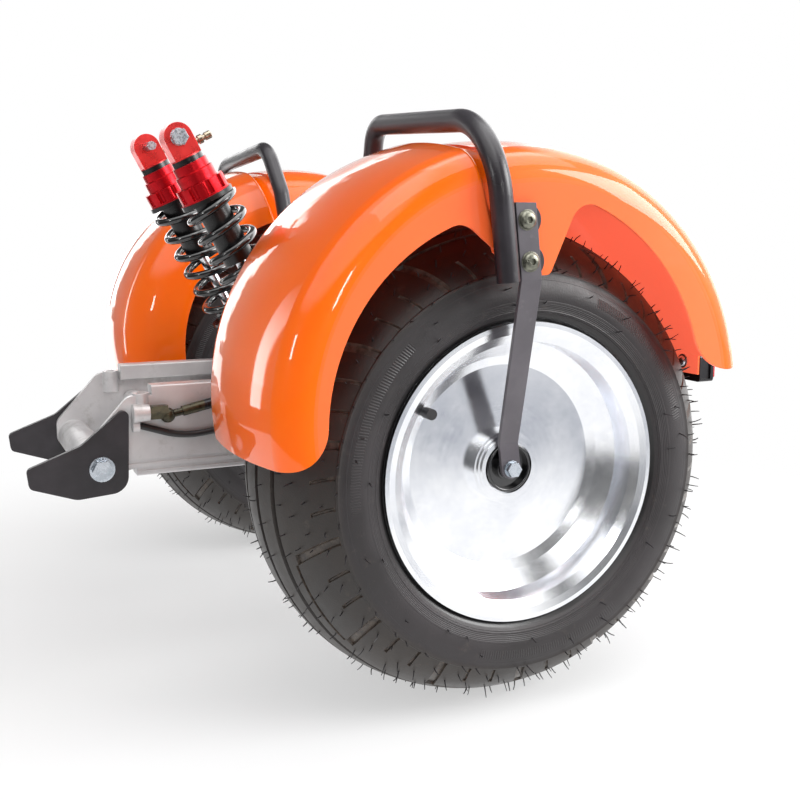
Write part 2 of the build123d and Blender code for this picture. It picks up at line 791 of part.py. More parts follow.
# ---------------------------------------------------------------- rear reflector
reflector_back = (tab_face - seat_gap, track / 2, reflector_z)
with BuildPart() as reflector:
    with BuildSketch(Plane(origin=reflector_back, x_dir=(0, 1, 0), z_dir=(-1, 0, 0))):
        RectangleRounded(reflector_width, reflector_height, reflector_corner)
    extrude(amount=reflector_depth)
    for way in (1, -1):
        end_place = (
            tab_face - seat_gap - reflector_depth / 2 + 1,
            track / 2 + way * reflector_width / 2,
            reflector_z,
        )
        with BuildSketch(Plane(origin=end_place, x_dir=(1, 0, 0), z_dir=(0, way, 0))):
            Rectangle(reflector_depth - 3 * reflector_wall, reflector_height - 3 * reflector_wall)
        extrude(amount=-reflector_wall, mode=Mode.SUBTRACT)
    fillet(reflector.faces().sort_by(Axis.X)[0].edges(), edge_break)
write_pair(reflector.part, "reflector")

lens_face = tab_face - 2 * seat_gap - reflector_depth
with BuildPart() as reflector_lens:
    with BuildSketch(Plane(origin=(lens_face, track / 2, reflector_z), x_dir=(0, 1, 0), z_dir=(-1, 0, 0))):
        RectangleRounded(
            reflector_width - 3 * reflector_wall,
            reflector_height - 3 * reflector_wall,
            reflector_corner - edge_break,
        )
    extrude(amount=lens_wall)
    fillet(reflector_lens.faces().sort_by(Axis.X)[0].edges(), edge_break)
write_pair(reflector_lens.part, "reflector_lens")

# ---------------------------------------------------------------- hoop
leg_y = guard_face + seat_gap + hoop_tube / 2
hoop_foot = (hoop_foot_x, plate_face - upper_rail[0] / 2, rail_top)
lug_z = (stay_bolt_z, stay_bolt_z + stay_bolt_gap)
foot_length, foot_width, foot_wall = hoop_foot_plate


def leg_x(z):
    """The middle of the hoop's outer leg at a height, as far as it is straight."""
    return hoop_x - hoop_lean * (hoop_shoulders[1] - z) / (hoop_shoulders[1] - hoop_leg_end)


def bar_x(z):
    """The middle of the stay's leaning head at a height."""
    return bar_centre_x + bar_lean * (z - bar_bend) / (bar_top - bar_bend)


with BuildPart() as hoop:
    with BuildLine() as hoop_path:
        FilletPolyline(
            (hoop_x - hoop_lean, leg_y, hoop_leg_end),
            (hoop_x, leg_y, hoop_shoulders[1]),
            (hoop_x, hoop_inner_corner, hoop_shoulders[0]),
            hoop_knee,
            hoop_foot,
            radius=(hoop_outer_bend, hoop_inner_bend, hoop_inner_bend),
        )
    with BuildSketch(Plane(origin=hoop_path.line @ 0, z_dir=hoop_path.line % 0)):
        Circle(hoop_tube / 2)
        Circle(hoop_tube / 2 - hoop_wall, mode=Mode.SUBTRACT)
    sweep()
    split(bisect_by=Plane.XY.offset(hoop_foot[2] + foot_wall), keep=Keep.TOP)
    with BuildSketch(Plane.XY.offset(hoop_foot[2])):
        with Locations(hoop_foot[:2]):
            RectangleRounded(foot_length, foot_width, hoop_foot_corner)
    extrude(amount=foot_wall)
    with BuildSketch(side_view(guard_face + seat_gap)):
        with BuildLine():
            lug_foot = lug_z[0] - lug_margins[0]
            lug_head = lug_z[1] + lug_margins[1]
            Polyline(
                (leg_x(lug_head) - hoop_tube / 4, lug_head),
                (bar_x(lug_head) - stay_width / 2 + lug_overlap, lug_head),
                (bar_x(lug_foot) - stay_width / 2 + lug_overlap, lug_foot),
                (leg_x(lug_foot) - hoop_tube / 4, lug_foot),
                close=True,
            )
        make_face()
        with Locations(*[(bar_x(z) - lug_overlap, z) for z in lug_z]):
            Circle(lug_lobe_radius)
    extrude(amount=-lug_wall)
write_pair(hoop.part, "hoop")

# ---------------------------------------------------------------- stay
bar_y = guard_face + seat_gap + lug_wall
foot_y = track / 2 + hub_nose + 1
with BuildPart() as stay:
    with BuildSketch(Plane(origin=(-axle_back, 0, 0), x_dir=(0, 1, 0), z_dir=(1, 0, 0))):
        with BuildLine():
            Polyline(
                (bar_y, bar_top),
                (bar_y, bar_bend),
                (foot_y, axle_rise + bar_foot_rise),
                (foot_y, axle_rise - bar_foot_drop),
                (foot_y + stay_wall, axle_rise - bar_foot_drop),
                (foot_y + stay_wall, axle_rise + bar_foot_rise),
                (bar_y + stay_wall, bar_bend),
                (bar_y + stay_wall, bar_top),
                close=True,
            )
        make_face()
    extrude(amount=3 * stay_width, both=True)
    with BuildSketch(side_view(foot_y - stay_wall)):
        with BuildLine():
            Polyline(
                (-axle_back - stay_width / 2, axle_rise),
                (bar_x(bar_bend) - stay_width / 2, bar_bend),
                (bar_x(bar_top) - stay_width / 2, bar_top),
                (bar_x(bar_top) + stay_width / 2, bar_top),
                (bar_x(bar_bend) + stay_width / 2, bar_bend),
                (-axle_back + stay_width / 2, axle_rise),
                close=True,
            )
        make_face()
        with Locations((-axle_back, axle_rise)):
            Circle(stay_width / 2)
    extrude(amount=-bar_y - stay_wall, mode=Mode.INTERSECT)
write_pair(stay.part, "stay")

# ---------------------------------------------------------------- bearing cap and axle bolt
cap_radius = cap_recess_radius - cap_gap
with BuildPart() as bearing_cap:
    with BuildSketch(wheel_plane):
        with BuildLine():
            Polyline(
                (spindle_end - track / 2, 0),
                (hub_nose + 1, 0),
                (hub_nose + 1, cap_recess_radius / 2),
                (spindle_end - track / 2 + cap_wall, cap_recess_radius / 2),
                (spindle_end - track / 2 + cap_wall, cap_radius - cap_wall),
                (hub_nose + 1, cap_radius - cap_wall),
                (hub_nose + 1, cap_radius),
                (spindle_end - track / 2, cap_radius),
                close=True,
            )
        make_face()
    revolve(axis=spin_axis)
    rim_edges = bearing_cap.edges().filter_by(GeomType.CIRCLE).group_by(Axis.Y)[-1]
    fillet(rim_edges.sort_by(SortBy.RADIUS)[-2:], cap_rim_round)
write_pair(bearing_cap.part, "bearing_cap")

with BuildPart() as axle_bolt:
    with BuildSketch(across(-axle_back, foot_y + stay_wall, axle_rise)):
        Circle(axle_bolt_washer[0])
    extrude(amount=axle_bolt_washer[1])
    with BuildSketch(across(-axle_back, foot_y + stay_wall + axle_bolt_washer[1], axle_rise)):
        RegularPolygon(axle_bolt_hex[0], 6, major_radius=False)
    extrude(amount=axle_bolt_hex[1])
write_pair(axle_bolt.part, "axle_bolt")

# ---------------------------------------------------------------- damper
drop = (damper_foot[0] - damper_top[0], damper_foot[1] - damper_top[1])
damper_length = hypot(*drop)
down = (drop[0] / damper_length, 0, drop[1] / damper_length)
damper_eye = (damper_top[0], damper_offset, damper_top[1])
damper_axis = Axis(damper_eye, down)
damper_section = Plane(origin=damper_eye, x_dir=(0, 1, 0), z_dir=Vector(0, 1, 0).cross(Vector(down)))
head_face = damper_offset + damper_head_wall / 2
head_spot = (damper_top[0], head_face, damper_top[1])
head_plane = Plane(origin=head_spot, x_dir=(-down[2], 0, down[0]), z_dir=(0, 1, 0))
bolt_tip = damper_offset - damper_head_wall / 2 - damper_bolt_end
lower_seat = damper_length - lower_seat_lift


def down_the_damper(distance):
    """A sketch plane square to the damper's axis, at a distance below its upper eye."""
    place = Vector(damper_eye) + Vector(down) * distance
    return Plane(origin=place, x_dir=(0, 1, 0), z_dir=down)


with BuildPart() as damper_body:
    with BuildSketch(head_plane):
        Circle(damper_head_width / 2)
        with Locations((0, damper_head_length / 2)):
            Rectangle(damper_head_width, damper_head_length)
    extrude(amount=-damper_head_wall)
    with BuildSketch(damper_section):
        with BuildLine():
            Polyline(
                (0, damper_head_length - 1),
                (damper_neck_radius, damper_head_length - 1),
                (damper_neck_radius, damper_can_start),
                (damper_can_radius, damper_can_start),
                (damper_can_radius, damper_can_step - 1),
                (damper_can_radius + 2, damper_can_step),
                (damper_can_radius + 2, damper_can_end),
                (preload_ring_radius, damper_can_end),
                (preload_ring_radius, preload_ring_end),
                (spring_seat_radius, preload_ring_end),
                (spring_seat_radius, spring_start),
                (damper_tube_radius, spring_start),
                (damper_tube_radius, damper_tube_end),
                (0, damper_tube_end),
                close=True,
            )
        make_face()
    revolve(axis=damper_axis)
    with BuildSketch(down_the_damper(damper_can_end)):
        with PolarLocations(preload_ring_radius, preload_notches):
            Circle(preload_notch_radius)
    extrude(amount=preload_ring_end - damper_can_end - 2, mode=Mode.SUBTRACT)
    with BuildSketch(across(damper_top[0], damper_offset - damper_head_wall, damper_top[1])):
        Circle(damper_bolt_radius + running_gap)
    extrude(amount=2 * damper_head_wall, mode=Mode.SUBTRACT)
write_pair(damper_body.part, "damper_body")

with BuildPart() as damper_rod:
    with BuildSketch(damper_section):
        with BuildLine():
            Polyline(
                (0, damper_tube_end),
                (damper_rod_radius, damper_tube_end),
                (damper_rod_radius, lower_seat),
                (spring_seat_radius, lower_seat),
                (spring_seat_radius, lower_seat + lower_seat_wall),
                (2 * damper_rod_radius, lower_seat + lower_seat_wall),
                (2 * damper_rod_radius, damper_length - 2 * damper_bolt_radius),
                (0, damper_length - 2 * damper_bolt_radius),
                close=True,
            )
        make_face()
    revolve(axis=damper_axis)
    with BuildSketch(across(damper_foot[0], damper_offset - damper_foot_width / 2, damper_foot[1])):
        Circle(damper_foot_radius)
    extrude(amount=damper_foot_width)
    with BuildSketch(across(damper_foot[0], damper_offset - damper_foot_width / 2, damper_foot[1])):
        Circle(damper_bolt_radius + running_gap)
    extrude(amount=damper_foot_width, mode=Mode.SUBTRACT)
write_pair(damper_rod.part, "damper_rod")

coil_radius = spring_outer - spring_wire
spring_from = spring_start + seat_gap
spring_to = lower_seat - seat_gap
with BuildPart() as damper_spring:
    with BuildLine() as coil:
        Helix(
            pitch=spring_pitch,
            height=spring_to - spring_from,
            radius=coil_radius,
            center=Vector(damper_eye) + Vector(down) * spring_from,
            direction=down,
        )
    with BuildSketch(Plane(origin=coil.line @ 0, z_dir=coil.line % 0)):
        Circle(spring_wire)
    sweep(is_frenet=True)
    split(bisect_by=down_the_damper(spring_from), keep=Keep.TOP)
    split(bisect_by=down_the_damper(spring_to), keep=Keep.BOTTOM)
write_pair(damper_spring.part, "damper_spring")

with BuildPart() as damper_bolt:
    with BuildSketch(across(damper_top[0], bolt_tip, damper_top[1])):
        Circle(damper_bolt_radius)
    extrude(amount=damper_head_wall + damper_bolt_end)
    with BuildSketch(across(damper_top[0], head_face, damper_top[1])):
        Circle(damper_bolt_washer[0])
    extrude(amount=damper_bolt_washer[1])
    with BuildSketch(across(damper_top[0], head_face + damper_bolt_washer[1], damper_top[1])):
        RegularPolygon(damper_bolt_hex[0], 6, major_radius=False)
    extrude(amount=damper_bolt_hex[1])
write_pair(damper_bolt.part, "damper_bolt")

pin_half = bracket_gap + bracket_wall + bracket_pin_end
with BuildPart() as damper_bracket:
    for y in (damper_offset - bracket_gap - bracket_wall, damper_offset + bracket_gap):
        with BuildSketch(side_view(y)):
            with Locations(damper_foot):
                Circle(damper_foot_radius)
            with BuildLine():
                Polyline(
                    (damper_foot[0] - bracket_foot, rail_top),
                    (damper_foot[0] + bracket_foot, rail_top),
                    (damper_foot[0] + damper_foot_radius, damper_foot[1]),
                    (damper_foot[0] - damper_foot_radius, damper_foot[1]),
                    close=True,
                )
            make_face()
        extrude(amount=-bracket_wall)
    with BuildSketch(across(damper_foot[0], damper_offset - pin_half, damper_foot[1])):
        Circle(damper_bolt_radius)
    extrude(amount=2 * pin_half)
write_pair(damper_bracket.part, "damper_bracket")

# ---------------------------------------------------------------- brake caliper
with BuildPart() as brake_caliper:
    with BuildSketch(across(-axle_back, caliper_back, axle_rise)):
        Circle(caliper_outer)
        Circle(caliper_inner, mode=Mode.SUBTRACT)
        with BuildLine():
            Polyline((0, 0), *caliper_wedge, close=True)
        make_face(mode=Mode.INTERSECT)
    extrude(amount=caliper_length)
    with BuildSketch(across(-axle_back, disc_y - caliper_gap, axle_rise)):
        Circle(brake_disc_radius + caliper_gap)
    extrude(amount=brake_disc_wall + 2 * caliper_gap, mode=Mode.SUBTRACT)
write_pair(brake_caliper.part, "brake_caliper")
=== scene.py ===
import random
from math import atan2, cos, hypot, radians, tau

import bmesh
import bpy
from mathutils import Matrix, Vector


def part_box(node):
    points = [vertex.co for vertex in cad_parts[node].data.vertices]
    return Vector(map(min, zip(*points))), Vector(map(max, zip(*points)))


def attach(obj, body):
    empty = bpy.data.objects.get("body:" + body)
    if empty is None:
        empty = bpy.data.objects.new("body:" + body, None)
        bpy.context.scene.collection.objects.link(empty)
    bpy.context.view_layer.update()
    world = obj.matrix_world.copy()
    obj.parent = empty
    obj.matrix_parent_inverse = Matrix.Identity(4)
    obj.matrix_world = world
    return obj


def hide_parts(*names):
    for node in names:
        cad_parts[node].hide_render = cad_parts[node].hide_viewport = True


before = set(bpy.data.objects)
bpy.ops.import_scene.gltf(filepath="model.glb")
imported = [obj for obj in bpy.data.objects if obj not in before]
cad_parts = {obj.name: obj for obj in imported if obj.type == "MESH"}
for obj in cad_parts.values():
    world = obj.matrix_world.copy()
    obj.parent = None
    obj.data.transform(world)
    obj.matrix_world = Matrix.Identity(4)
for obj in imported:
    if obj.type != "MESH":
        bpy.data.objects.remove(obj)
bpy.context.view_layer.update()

# ---------------------------------------------------------------- camera
# The camera stands low at the left front corner of the unit, a little above
# the mudguard's middle, with a moderately long lens and no shift.
camera = bpy.data.objects.new("camera", bpy.data.cameras.new("camera"))
bpy.context.collection.objects.link(camera)
camera.data.sensor_width = 36
camera.data.lens = 48.366
camera_place = Matrix.Translation((0.1666, 1.2175, 0.2494))
camera_heading = Matrix.Rotation(radians(155.616), 4, "Z")
camera_tilt = Matrix.Rotation(radians(80.644), 4, "X")
camera_roll = Matrix.Rotation(radians(-0.21), 4, "Z")
camera.matrix_world = camera_place @ camera_heading @ camera_tilt @ camera_roll
bpy.context.scene.camera = camera
bpy.context.scene.view_settings.view_transform = "Standard"

# ---------------------------------------------------------------- studio floor and lamps
# A sheet of white paper lies under the tyres, lit by soft lamps above, in front,
# on the left and behind. Gloss mirrors bright walls behind the unit and on its
# left, and a dim room on the camera's side; the camera sees plain white.


class Wire:
    """A socket among a material's nodes, so that shading is written as sums."""

    def __init__(self, tree, socket=None):
        self.tree = tree
        self.socket = socket

    def node(self, kind, settings, values, out=0):
        """A new node: its settings, then its sockets' values or wires. Gives one output."""
        new = self.tree.nodes.new(kind)
        for name, value in settings.items():
            setattr(new, name, value)
        for name, value in values.items():
            if isinstance(value, Wire):
                self.tree.links.new(value.socket, new.inputs[name])
            else:
                new.inputs[name].default_value = value
        return Wire(self.tree, new.outputs[out]) if new.outputs else None

    def math(self, operation, *values):
        """Arithmetic on wires and numbers."""
        return self.node("ShaderNodeMath", {"operation": operation}, dict(enumerate(values)))

    def __add__(self, other):
        return self.math("ADD", self, other)

    def __sub__(self, other):
        return self.math("SUBTRACT", self, other)

    def __rsub__(self, other):
        return self.math("SUBTRACT", other, self)

    def __mul__(self, other):
        return self.math("MULTIPLY", self, other)

    __radd__ = __add__
    __rmul__ = __mul__

    def sine(self):
        return self.math("SINE", self)

    def at_most_one(self):
        return self.math("MINIMUM", self, 1.0)

    def turn(self, other):
        """The angle of the point whose two parts are other and this wire, from -pi to pi."""
        return self.math("ARCTAN2", self, other)

    def between(self, low, high, start=0.0, end=1.0):
        """Start below low and end above high, with a smooth step from one to the other."""
        return self.node(
            "ShaderNodeMapRange",
            {"interpolation_type": "SMOOTHSTEP"},
            {"Value": self, "From Min": low, "From Max": high, "To Min": start, "To Max": end},
        )

    def below(self, low, high):
        """1 below low and 0 above high."""
        return self.between(low, high, 1.0, 0.0)

    def band(self, rise, fall):
        """1 in a band and 0 outside: it steps up between one pair of numbers, down between the other."""
        return self.between(*rise) * self.below(*fall)

    def colour(self, first, second):
        """A mix of two colours, by this wire."""
        return self.node("ShaderNodeMix", {"data_type": "RGBA"}, {0: self, 6: first, 7: second}, 2)

    def noise(self, scale, detail=2.0, roughness=0.5):
        values = {"Vector": self, "Scale": scale, "Detail": detail, "Roughness": roughness}
        return self.node("ShaderNodeTexNoise", {}, values)

    def points(self, operation, values, out=0):
        """The same on points, one by one."""
        return self.node("ShaderNodeVectorMath", {"operation": operation}, {0: self, **values}, out)

    def moved(self, place, size=(1, 1, 1)):
        """Points as seen from place, then stretched."""
        return self.points("SUBTRACT", {1: place}).points("MULTIPLY", {1: size})

    def length(self):
        return self.points("LENGTH", {}, "Value")

    def along(self, way):
        """How far a point lies along a way."""
        return self.points("DOT_PRODUCT", {1: way}, "Value")

    def parts(self):
        """The three parts of a point."""
        return [self.node("ShaderNodeSeparateXYZ", {}, {0: self}, axis) for axis in range(3)]

    def ray(self, kind):
        """1 for rays of this kind, 0 for the others."""
        return self.node("ShaderNodeLightPath", {}, {}, f"Is {kind} Ray")

    def bump(self, strength, distance, worn=0.0):
        """A normal from this height, in shares of distance. Sharp edges are rounded by the radius worn."""
        values = {"Height": self, "Strength": strength, "Distance": distance}
        if worn:
            values["Normal"] = self.node("ShaderNodeBevel", {"samples": 4}, {"Radius": worn})
        return self.node("ShaderNodeBump", {}, values)

    def finish(self, **values):
        """The Principled shader that ends a material, its sockets named with _ for a space."""
        named = {name.replace("_", " "): value for name, value in values.items()}
        shader = self.node("ShaderNodeBsdfPrincipled", {}, named)
        self.node("ShaderNodeOutputMaterial", {}, {"Surface": shader})


def new_finish(name):
    """An empty material, and the wire of object coordinates that its pattern reads."""
    material = bpy.data.materials.new(name)
    material.use_nodes = True
    material.node_tree.nodes.clear()
    return material, Wire(material.node_tree).node("ShaderNodeTexCoord", {}, {}, "Object")


def rgb(red, green, blue):
    """A colour from its 0 to 255 screen values."""
    return (*[(value / 255) ** 2.2 for value in (red, green, blue)], 1)


def made(name, shape, material, sharp=35):
    """An object from a bmesh, smooth but for its sharp edges."""
    data = bpy.data.meshes.new(name)
    shape.to_mesh(data)
    shape.free()
    data.shade_smooth()
    data.set_sharp_from_angle(angle=radians(sharp))
    data.materials.append(material)
    piece = bpy.data.objects.new(name, data)
    bpy.context.collection.objects.link(piece)
    return piece


ground = -0.2141
white = (1, 1, 1, 1)
paper, at = new_finish("paper_floor")
paper_colour = at.noise(3.0, 3).between(0.3, 0.7).colour(rgb(247, 247, 248), rgb(250, 250, 250))
paper_shader = at.node("ShaderNodeBsdfPrincipled", {}, {"Base Color": paper_colour, "Roughness": 0.8})
seen, mirrored = at.ray("Camera"), at.ray("Glossy")
let_through, bounced = at.ray("Transmission"), at.ray("Diffuse")

# What gloss mirrors of the floor: the bright sheet, and past its edge a darker
# floor, the foot of the bright wall and the foot of a tall lamp.
sheet_edge, shade_end, strip_foot = (1.3, 1.37), (1.6, 3.2), (2.4, 2.5)
wall_foot, front_shade = (-1.37, -1.34), (1.7, 2.0)
strip_turn = (-1.01, -0.99), (-0.92, -0.9)
from_sheet = at.moved((-0.45, -0.05, ground)).length()
floor_x, floor_y, _ = at.moved((-0.1, 0.3, ground)).parts()
floor_turn = floor_y.turn(floor_x)
beyond = from_sheet.between(*shade_end).colour(rgb(146, 151, 163), rgb(238, 239, 242))
beyond = floor_turn.below(*front_shade).colour(beyond, rgb(66, 66, 68))
beyond = floor_turn.below(*wall_foot).colour(beyond, (2.4, 2.4, 2.4, 1))
in_strip = floor_turn.band(*strip_turn) * from_sheet.between(*strip_foot)
beyond = in_strip.colour(beyond, (6, 6, 6, 1))
floor_tone = from_sheet.between(*sheet_edge).colour((1.2, 1.2, 1.2, 1), beyond)
floor_tone = bounced.colour(floor_tone, (1.35, 1.35, 1.35, 1))
floor_tone = seen.colour(floor_tone, white)
paper_glow = at.node("ShaderNodeEmission", {}, {"Color": floor_tone, "Strength": 1.0})

# The paper shows its own shading, and so the shadow, near the unit alone.
open_floor = at.moved((-0.3, 0.15, ground)).length().between(0.5, 1.1, 0.5, 1.0)
lit_paper = at.moved((-0.3, 0.1, ground)).length().between(0.35, 0.95)
glow_share = seen * open_floor + (mirrored + let_through) * 0.9 + bounced * lit_paper
paper_mix = at.node("ShaderNodeMixShader", {}, {0: glow_share, 1: paper_shader, 2: paper_glow})
at.node("ShaderNodeOutputMaterial", {}, {"Surface": paper_mix})
floor_shape = bmesh.new()
bmesh.ops.create_grid(floor_shape, x_segments=1, y_segments=1, size=9)
bmesh.ops.translate(floor_shape, verts=floor_shape.verts, vec=(0, 0, ground))
made("floor", floor_shape, paper)

# The room that gloss mirrors, by the turn from +X towards +Y and by height: a
# ragged bright wall, a lit ceiling with a dark part, and the tall lamp.
world = bpy.data.worlds.new("studio")
bpy.context.scene.world = world
world.use_nodes = True
world.node_tree.nodes.clear()
air = Wire(world.node_tree)
seen, mirrored, let_through = air.ray("Camera"), air.ray("Glossy"), air.ray("Transmission")
way = air.node("ShaderNodeTexCoord", {}, {}, "Generated")
way_x, way_y, way_z = way.parts()
azimuth = way_y.turn(way_x)
ragged = way.noise(12.0, 3, 0.65) * 0.24 - 0.12
low_gap = azimuth.band((-1.62, -1.57), (-1.54, -1.5)) * way_z.below(0.15, 0.25)
straight_past = azimuth.band((-2.2, -2.1), (-1.8, -1.7)) * way_z.below(0.3, 0.4)
wall = (azimuth + ragged).below(-1.42, -1.39) * (1 - low_gap) * (1 - straight_past * 0.8)
dark_ceiling = (way_z + ragged).between(0.36, 0.42) * way_x.between(-0.65, -0.45) * way_y.below(-0.35, -0.15)
ceiling = way_z.between(0.42, 0.55) * way_x.between(-0.1, 0.1) * (1 - dark_ceiling)
behind_left = azimuth.between(1.8, 2.15)
tall_lamp = azimuth.band(*strip_turn) * way_z.below(0.05, 0.45)
bright_wall = wall * (1 - dark_ceiling)
mirrored_light = bright_wall * 3.2 + behind_left * 1.2 + ceiling * 2.0 + tall_lamp * 6.0 + 0.2
level = (1 - mirrored) * 0.5 + mirrored * mirrored_light
level = air.math("MAXIMUM", level, (seen + let_through).at_most_one())
air_light = air.node("ShaderNodeBackground", {}, {"Color": white, "Strength": level})
air.node("ShaderNodeOutputWorld", {}, {"Surface": air_light})


def lamp(name, place, target, size, power):
    """A soft box lamp at place, turned to face the target."""
    light = bpy.data.lights.new(name, "AREA")
    light.shape = "RECTANGLE"
    light.size, light.size_y = size
    light.energy = power
    stand = bpy.data.objects.new(name, light)
    stand.location = place
    stand.rotation_euler = (Vector(target) - Vector(place)).to_track_quat("-Z", "Y").to_euler()
    bpy.context.collection.objects.link(stand)


lamp("key_lamp", (-0.6, 0.9, 2.3), (-0.4, 0.2, 0.0), (2.6, 1.8), 33)
lamp("front_strip", (2.27, 0.69, 0.83), (-0.1, 0.33, 0.1), (0.2, 0.38), 6)
lamp("side_spot", (0.0, 2.35, 0.62), (-0.1, 0.35, 0.15), (0.14, 0.32), 3.5)
lamp("rear_lamp", (-2.2, 1.6, 1.1), (-0.5, 0.3, 0.1), (1.4, 1.2), 58)

# ---------------------------------------------------------------- swing arm
# Welded from steel plate, square tube and round tube, then sprayed with a
# silver grey paint that pulls in thin at the edges.


def dress(material, *names):
    """Gives CAD nodes their finish; a name without a side means both sides."""
    for name in names:
        sides = [name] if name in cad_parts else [f"{name}_left", f"{name}_right"]
        for side in sides:
            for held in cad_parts[side].material_slots:
                held.material = material


silver_paint, at = new_finish("silver_paint")
orange_peel = at.noise(900, 2)
paint_cloud = at.noise(14, 4, 0.6)
road_dust = at.noise(45, 5, 0.65)
silver_paint_colour = paint_cloud.between(0.3, 0.7).colour(rgb(198, 196, 197), rgb(214, 212, 212))
silver_paint_colour = (road_dust.between(0.52, 0.75) * 0.5).colour(silver_paint_colour, rgb(150, 146, 140))
at.finish(
    Base_Color=silver_paint_colour,
    Metallic=0.35,
    Roughness=road_dust.between(0.3, 0.8, 0.32, 0.55),
    Normal=(orange_peel + paint_cloud * 0.5).bump(0.12, 0.0006, 0.0008),
)
dress(silver_paint, "swing_arm")

# ---------------------------------------------------------------- hangers and pivot bolt
# The hangers are laser-cut plate in black powder coat; the long bolt through
# them is zinc plated steel, with a plain washer under each head.
powder_coat, at = new_finish("black_powder_coat")
grit = at.noise(1500, 2)
coat_cloud = at.noise(22, 4, 0.6)
at.finish(
    Base_Color=coat_cloud.between(0.3, 0.75).colour(rgb(40, 37, 40), rgb(56, 52, 56)),
    Roughness=coat_cloud.between(0.25, 0.8, 0.36, 0.5),
    Normal=grit.bump(0.25, 0.0004, 0.0008),
)
dress(powder_coat, "hanger", "damper_bracket")

zinc, at = new_finish("zinc_plate")
zinc_grain = at.noise(350, 3, 0.6)
zinc_stain = at.noise(60, 4)
at.finish(
    Base_Color=zinc_stain.between(0.35, 0.7).colour(rgb(214, 219, 226), rgb(182, 190, 198)),
    Metallic=1.0,
    Roughness=zinc_grain.between(0.3, 0.7, 0.2, 0.38),
    Normal=zinc_grain.bump(0.05, 0.0003, 0.0003),
)
dress(zinc, "pivot_bolt", "axle_bolt", "damper_bolt")

bush_plastic, at = new_finish("bush_plastic")
bush_grain = at.noise(500, 3)
at.finish(
    Base_Color=bush_grain.between(0.3, 0.7).colour(rgb(60, 58, 56), rgb(78, 76, 74)),
    Roughness=0.5,
    Normal=bush_grain.bump(0.2, 0.0003),
)
dress(bush_plastic, "pivot_bushes")

# ---------------------------------------------------------------- axle beam and drive unit
# The beam is turned steel with plates welded on; the motor and its gear case
# are sand castings under a thin grey paint.
ground_steel, at = new_finish("ground_steel")
turning = at.moved((0, 0, 0), (30, 900, 30)).noise(1.0, 3)
at.finish(
    Base_Color=turning.between(0.3, 0.7).colour(rgb(186, 187, 190), rgb(206, 207, 210)),
    Metallic=1.0,
    Roughness=turning.between(0.2, 0.8, 0.24, 0.42),
    Normal=turning.bump(0.15, 0.0003),
)
dress(ground_steel, "axle_beam")

casting, at = new_finish("grey_casting")
sand = at.noise(420, 4, 0.7)
oil = at.noise(16, 4)
at.finish(
    Base_Color=oil.between(0.35, 0.75).colour(rgb(112, 113, 116), rgb(84, 84, 86)),
    Metallic=0.4,
    Roughness=oil.between(0.3, 0.7, 0.6, 0.42),
    Normal=sand.bump(0.5, 0.0008),
)
dress(casting, "drive_unit")

# ---------------------------------------------------------------- brakes and hoses
# Ground steel discs with drilled holes, cast black calipers, and rubber hoses
# that are held along their whole run from the swing arm to the calipers.
disc_steel, at = new_finish("disc_steel")
axle = (-0.338, 0, 0.02)
off_axis = at.moved(axle, (1, 0, 1)).length()
disc_rings = (off_axis * 5200).sine()
disc_scratch = at.noise(260, 4)
at.finish(
    Base_Color=disc_scratch.between(0.3, 0.7).colour(rgb(176, 178, 182), rgb(204, 205, 208)),
    Metallic=1.0,
    Roughness=disc_scratch.between(0.2, 0.8, 0.22, 0.4),
    Normal=(disc_rings * 0.5 + disc_scratch).bump(0.12, 0.0002),
)
dress(disc_steel, "brake_disc")

black_casting, at = new_finish("black_casting")
caliper_grit = at.noise(700, 3)
at.finish(
    Base_Color=at.noise(30, 3).between(0.3, 0.7).colour(rgb(40, 40, 42), rgb(56, 55, 56)),
    Roughness=0.5,
    Normal=caliper_grit.bump(0.4, 0.0005),
)
dress(black_casting, "brake_caliper")

hose_rubber, at = new_finish("hose_rubber")
hose_grain = at.noise(800, 2)
at.finish(
    Base_Color=at.noise(50, 3).between(0.3, 0.7).colour(rgb(26, 25, 26), rgb(42, 40, 42)),
    Roughness=hose_grain.between(0.2, 0.8, 0.34, 0.5),
    Normal=hose_grain.bump(0.15, 0.0003),
)
dress(hose_rubber, "brake_hose")

# ---------------------------------------------------------------- link rods
# A steel rod with a ball joint at the front, olive passivated, and a rubber
# bellows that keeps the grit out of its slide.
olive_zinc, at = new_finish("olive_zinc")
bellows_start = (-0.108, -0.107)
bellows = at.parts()[0].below(*bellows_start)
olive_cloud = at.noise(120, 3).between(0.3, 0.7)
rod_colour = olive_cloud.colour(rgb(50, 47, 36), rgb(76, 71, 54))
rod_colour = bellows.colour(rod_colour, rgb(46, 46, 48))
at.finish(
    Base_Color=rod_colour,
    Metallic=0.6,
    Roughness=olive_cloud.between(0.0, 1.0, 0.24, 0.4),
    Normal=at.noise(600, 2).bump(0.15, 0.0003),
)
dress(olive_zinc, "link_rod")

